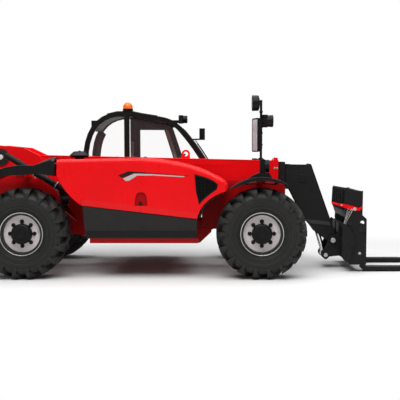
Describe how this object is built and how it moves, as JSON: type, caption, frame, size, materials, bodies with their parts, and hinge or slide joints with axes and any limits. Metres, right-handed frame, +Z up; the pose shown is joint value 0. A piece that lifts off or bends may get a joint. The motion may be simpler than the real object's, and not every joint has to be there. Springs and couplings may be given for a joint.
{
  "type": "telehandler",
  "caption": "Compact telehandler with side engine hood, left cab, all-wheel steering and a three-section telescopic boom carrying a tilting fork carriage.",
  "frame": {"origin": "middle of the bounding box at ground level", "axes": "+X forward along the boom, +Y to the machine's left (cab side), +Z up"},
  "size_m": [5.966, 1.99, 2.0628],
  "materials": {
    "red_paint": "gloss",
    "red_hood": "gloss",
    "dark_cast": "satin",
    "axle_paint": "satin",
    "engine_iron": "matte",
    "grey_panel": "matte",
    "black_plastic": "satin",
    "lamp_black": "gloss",
    "black_steel": "satin",
    "cab_black": "satin",
    "clear_glass": "clear",
    "seat_fabric": "matte",
    "trim_plastic": "matte",
    "beacon_orange": "gloss",
    "black_boom": "satin",
    "cylinder_black": "satin",
    "chrome_rod": "polished",
    "fork_black": "satin",
    "tyre_rubber": "matte",
    "rim_paint": "satin"
  },
  "bodies": {
    "machine": {"chassis": "red_paint", "side_frame": "red_paint", "counterweight": "dark_cast", "axles": "axle_paint", "engine_block": "engine_iron", "side_panels": "grey_panel", "fenders": "black_plastic", "lamps": "lamp_black", "mirrors": "black_plastic", "exhaust_pipes": "black_steel", "cab_base": "cab_black", "cab_frame": "cab_black", "cab_roof": "cab_black", "cab_glass": "clear_glass", "seat": "seat_fabric", "controls": "trim_plastic", "beacon": "beacon_orange"},
    "hood": {"hood": "red_hood", "hood_grille": "black_plastic", "pre_cleaner": "black_plastic"},
    "door": {"door": "cab_black", "door_glass": "clear_glass"},
    "boom_outer": {"outer_boom": "red_paint"},
    "boom_middle": {"middle_boom": "black_boom"},
    "boom_inner": {"inner_boom": "black_boom"},
    "lift_barrel": {"lift_barrel": "cylinder_black"},
    "lift_rod": {"lift_rod": "chrome_rod"},
    "tilt_barrel": {"tilt_barrel": "cylinder_black"},
    "tilt_rod": {"tilt_rod": "chrome_rod"},
    "tool": {"coupler": "black_boom", "lock_lever": "red_paint", "carriage": "black_boom", "forks": "fork_black"},
    "knuckle_front_right": {"knuckle_front_right": "axle_paint"},
    "wheel_front_right": {"tyre_front_right": "tyre_rubber", "rim_front_right": "rim_paint"},
    "knuckle_front_left": {"knuckle_front_left": "axle_paint"},
    "wheel_front_left": {"tyre_front_left": "tyre_rubber", "rim_front_left": "rim_paint"},
    "knuckle_rear_right": {"knuckle_rear_right": "axle_paint"},
    "wheel_rear_right": {"tyre_rear_right": "tyre_rubber", "rim_rear_right": "rim_paint"},
    "knuckle_rear_left": {"knuckle_rear_left": "axle_paint"},
    "wheel_rear_left": {"tyre_rear_left": "tyre_rubber", "rim_rear_left": "rim_paint"}
  },
  "joints": [
    {"name": "steer_front_right", "type": "hinge", "parent": "machine", "child": "knuckle_front_right", "pos_m": [0.497, -0.56, 0.512], "axis": [0, 0, 1], "range_deg": [-30, 30]},
    {"name": "spin_front_right", "type": "hinge", "parent": "knuckle_front_right", "child": "wheel_front_right", "pos_m": [0.497, -0.795, 0.512], "axis": [0, 1, 0], "continuous": true},
    {"name": "steer_front_left", "type": "hinge", "parent": "machine", "child": "knuckle_front_left", "pos_m": [0.497, 0.56, 0.512], "axis": [0, 0, 1], "range_deg": [-30, 30]},
    {"name": "spin_front_left", "type": "hinge", "parent": "knuckle_front_left", "child": "wheel_front_left", "pos_m": [0.497, 0.795, 0.512], "axis": [0, 1, 0], "continuous": true},
    {"name": "steer_rear_right", "type": "hinge", "parent": "machine", "child": "knuckle_rear_right", "pos_m": [-2.193, -0.56, 0.512], "axis": [0, 0, 1], "range_deg": [-30, 30]},
    {"name": "spin_rear_right", "type": "hinge", "parent": "knuckle_rear_right", "child": "wheel_rear_right", "pos_m": [-2.193, -0.795, 0.512], "axis": [0, 1, 0], "continuous": true},
    {"name": "steer_rear_left", "type": "hinge", "parent": "machine", "child": "knuckle_rear_left", "pos_m": [-2.193, 0.56, 0.512], "axis": [0, 0, 1], "range_deg": [-30, 30]},
    {"name": "spin_rear_left", "type": "hinge", "parent": "knuckle_rear_left", "child": "wheel_rear_left", "pos_m": [-2.193, 0.795, 0.512], "axis": [0, 1, 0], "continuous": true},
    {"name": "hood_lift", "type": "hinge", "parent": "machine", "child": "hood", "pos_m": [-0.8345, -0.274, 1.33], "axis": [-1, 0, 0], "range_deg": [0, 60]},
    {"name": "door_swing", "type": "hinge", "parent": "machine", "child": "door", "pos_m": [-1.125, 0.945, 1.2], "axis": [0, 0, 1], "range_deg": [0, 90]},
    {"name": "boom_lift", "type": "hinge", "parent": "machine", "child": "boom_outer", "pos_m": [-2.611, 0, 1.367], "axis": [0, -1, 0], "range_deg": [0, 68]},
    {"name": "boom_extend", "type": "slide", "parent": "boom_outer", "child": "boom_middle", "axis": [0.9997, 0, -0.0227], "range_m": [0, 1.95]},
    {"name": "boom_extend_inner", "type": "slide", "parent": "boom_middle", "child": "boom_inner", "axis": [0.9997, 0, -0.0227], "range_m": [0, 1.95]},
    {"name": "tool_tilt", "type": "hinge", "parent": "boom_inner", "child": "tool", "pos_m": [1.424, 0, 0.345], "axis": [0, 1, 0], "range_deg": [-12, 114]},
    {"name": "lift_barrel_swing", "type": "hinge", "parent": "machine", "child": "lift_barrel", "pos_m": [-2.15, 0, 0.8], "axis": [0, -1, 0], "range_deg": [0, 68]},
    {"name": "lift_rod_slide", "type": "slide", "parent": "lift_barrel", "child": "lift_rod", "axis": [0.9919, 0, 0.127], "range_m": [0, 0.83]},
    {"name": "tilt_barrel_swing", "type": "hinge", "parent": "boom_inner", "child": "tilt_barrel", "pos_m": [1.048, 0, 1.107], "axis": [0, 1, 0], "range_deg": [-6, 1]},
    {"name": "tilt_rod_slide", "type": "slide", "parent": "tilt_barrel", "child": "tilt_rod", "axis": [0.2914, 0, -0.9566], "range_m": [-0.34, 0.05]}
  ],
  "couplings": [
    {"joint": "steer_front_left", "follows": "steer_front_right", "ratio": 1},
    {"joint": "steer_rear_right", "follows": "steer_front_right", "ratio": -1},
    {"joint": "steer_rear_left", "follows": "steer_front_right", "ratio": -1},
    {"joint": "boom_extend_inner", "follows": "boom_extend", "ratio": 1},
    {"joint": "lift_barrel_swing", "follows": "boom_lift", "ratio": 0.985},
    {"joint": "lift_rod_slide", "follows": "boom_lift", "m_per_rad": 0.6875},
    {"joint": "tilt_barrel_swing", "follows": "tool_tilt", "ratio": -0.0456},
    {"joint": "tilt_rod_slide", "follows": "tool_tilt", "m_per_rad": -0.1653}
  ]
}
